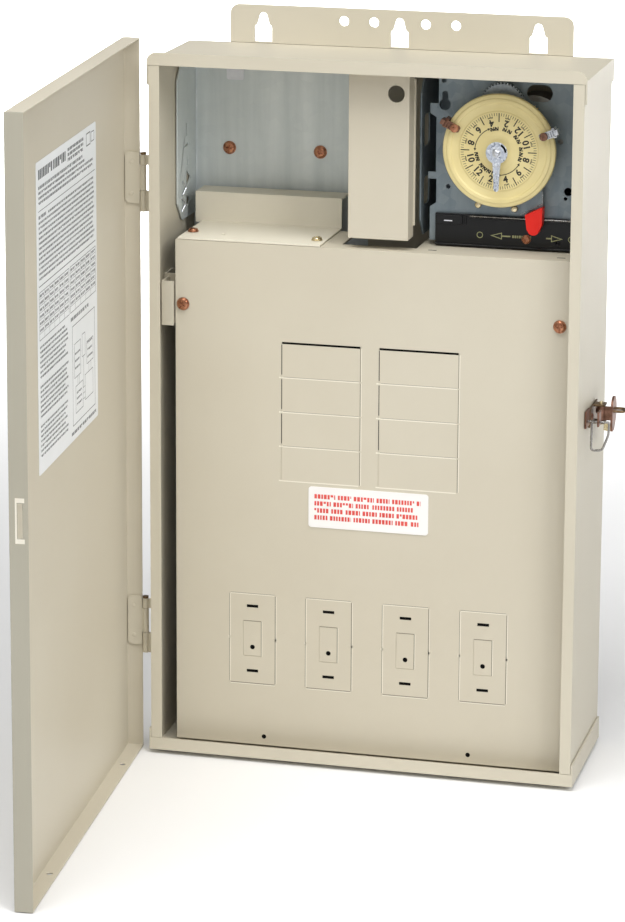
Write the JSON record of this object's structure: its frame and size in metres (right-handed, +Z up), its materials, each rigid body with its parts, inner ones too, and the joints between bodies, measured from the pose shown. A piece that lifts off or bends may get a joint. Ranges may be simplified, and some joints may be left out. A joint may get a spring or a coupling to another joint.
{
  "type": "time switch control panel",
  "caption": "Wall-mounted raintight steel control panel: hinged door, mechanical 24 hour time switch with manual lever, and a dead front with breaker and device knockouts.",
  "frame": {"origin": "middle of the enclosure's flat back, in the plane of the wall", "axes": "+X to the right seen from the front, +Y into the wall, +Z up"},
  "size_m": [0.3566, 0.4247, 0.539],
  "materials": {
    "painted_steel": "smooth beige powder coat, satin",
    "galvanised_steel": "rolled galvanised sheet, blue grey",
    "copper_screws": "copper-coloured chromate plating",
    "yellow_zinc": "yellow zinc plating",
    "plated_steel": "bright zinc plating",
    "black_plastic": "moulded black, semi-gloss",
    "tinned_bar": "dull tin plating",
    "gear_metal": "stamped grey steel",
    "brass_gear": "turned brass",
    "motor_can": "drawn steel can",
    "dial_cream": "cream yellow enamel with black figures",
    "grip_red": "moulded red, glossy",
    "label_white": "white film with red print",
    "sheet_paper": "white sheet with black print",
    "clear_pad": "pale plastic"
  },
  "bodies": {
    "enclosure": {"bail_bracket": "yellow_zinc", "bottom_end_cap": "painted_steel", "box_hinge_leaf_lower": "painted_steel", "box_hinge_leaf_upper": "painted_steel", "bus_bar_left": "tinned_bar", "bus_bar_right": "tinned_bar", "bus_base": "black_plastic", "cable_pad": "clear_pad", "centre_post": "plated_steel", "chassis_pan": "galvanised_steel", "chassis_screw_left": "copper_screws", "chassis_screw_right": "copper_screws", "clock_motor": "motor_can", "contact_block": "black_plastic", "dead_front": "painted_steel", "dead_front_bracket_left": "painted_steel", "dead_front_bracket_right": "painted_steel", "dead_front_screw_left": "copper_screws", "dead_front_screw_right": "copper_screws", "enclosure_body": "painted_steel", "ground_bar": "tinned_bar", "hinge_pin_lower": "yellow_zinc", "hinge_pin_upper": "yellow_zinc", "idler_axle": "plated_steel", "insulator_plate": "black_plastic", "insulator_screw": "copper_screws", "latch_base": "yellow_zinc", "latch_pin": "yellow_zinc", "lever_pivot": "plated_steel", "mechanism_plate": "galvanised_steel", "neutral_bar": "tinned_bar", "step_cover": "painted_steel", "step_cover_screw_left": "copper_screws", "step_cover_screw_right": "copper_screws", "switch_partition": "galvanised_steel", "time_pointer": "plated_steel", "top_end_cap": "painted_steel", "warning_label": "label_white", "wiring_channel_cover": "painted_steel"},
    "door": {"door_pan": "painted_steel", "latch_keeper": "painted_steel", "instruction_sheet": "sheet_paper", "door_hinge_leaf_upper": "painted_steel", "door_hinge_leaf_lower": "painted_steel"},
    "drum": {"drum_gear": "gear_metal"},
    "idler": {"idler_gear": "gear_metal"},
    "pinion": {"motor_pinion": "brass_gear"},
    "dial": {"dial": "dial_cream"},
    "on_tripper": {"tripper_on": "plated_steel"},
    "on_tripper_screw": {"tripper_on_screw": "copper_screws"},
    "off_tripper": {"tripper_off": "copper_screws"},
    "off_tripper_screw": {"tripper_off_screw": "copper_screws"},
    "lever": {"manual_lever": "galvanised_steel", "lever_grip": "grip_red"},
    "contact": {"moving_contact": "brass_gear"},
    "latch": {"latch_lever": "yellow_zinc"},
    "bail": {"latch_bail": "plated_steel"}
  },
  "joints": [
    {"name": "door_hinge", "type": "hinge", "parent": "enclosure", "child": "door", "pos_m": [-0.163, -0.099, 0], "axis": [0, 0, -1], "range_deg": [-85.6, 94]},
    {"name": "drum_turn", "type": "hinge", "parent": "enclosure", "child": "drum", "pos_m": [0.0904, -0.0686, 0.1975], "axis": [0, -1, 0], "continuous": true},
    {"name": "idler_turn", "type": "hinge", "parent": "enclosure", "child": "idler", "pos_m": [0.0904, -0.0686, 0.22825], "axis": [0, -1, 0], "continuous": true},
    {"name": "pinion_turn", "type": "hinge", "parent": "enclosure", "child": "pinion", "pos_m": [0.11087, -0.0686, 0.22358], "axis": [0, -1, 0], "continuous": true},
    {"name": "dial_pull", "type": "slide", "parent": "drum", "child": "dial", "axis": [0, -1, 0], "range_m": [0, 0.003]},
    {"name": "on_tripper_set", "type": "hinge", "parent": "dial", "child": "on_tripper", "pos_m": [0.0904, -0.078, 0.1975], "axis": [0, -1, 0], "range_deg": [-100, 60]},
    {"name": "off_tripper_set", "type": "hinge", "parent": "dial", "child": "off_tripper", "pos_m": [0.0904, -0.078, 0.1975], "axis": [0, -1, 0], "range_deg": [-60, 100]},
    {"name": "on_screw_turn", "type": "hinge", "parent": "on_tripper", "child": "on_tripper_screw", "pos_m": [0.1227, -0.0847, 0.2099], "axis": [0, -1, 0], "range_deg": [0, 360]},
    {"name": "off_screw_turn", "type": "hinge", "parent": "off_tripper", "child": "off_tripper_screw", "pos_m": [0.05944, -0.0847, 0.21294], "axis": [0, -1, 0], "range_deg": [0, 360]},
    {"name": "manual_lever_throw", "type": "hinge", "parent": "enclosure", "child": "lever", "pos_m": [0.1105, -0.0688, 0.182], "axis": [0, 1, 0], "range_deg": [0, 30]},
    {"name": "contact_rock", "type": "hinge", "parent": "enclosure", "child": "contact", "pos_m": [0.1, -0.0515, 0.154], "axis": [0, 1, 0], "range_deg": [0, 15]},
    {"name": "latch_swing", "type": "hinge", "parent": "enclosure", "child": "latch", "pos_m": [0.1618, -0.052, 0.007], "axis": [0, 0, 1], "range_deg": [-90, 25]},
    {"name": "bail_swing", "type": "hinge", "parent": "enclosure", "child": "bail", "pos_m": [0.16625, -0.08, 0.0075], "axis": [-1, 0, 0], "range_deg": [0, 90]}
  ],
  "couplings": [
    {"joint": "idler_turn", "follows": "drum_turn", "ratio": -0.95238},
    {"joint": "pinion_turn", "follows": "drum_turn", "ratio": 2.8571},
    {"joint": "contact_rock", "follows": "manual_lever_throw", "ratio": 0.5}
  ]
}
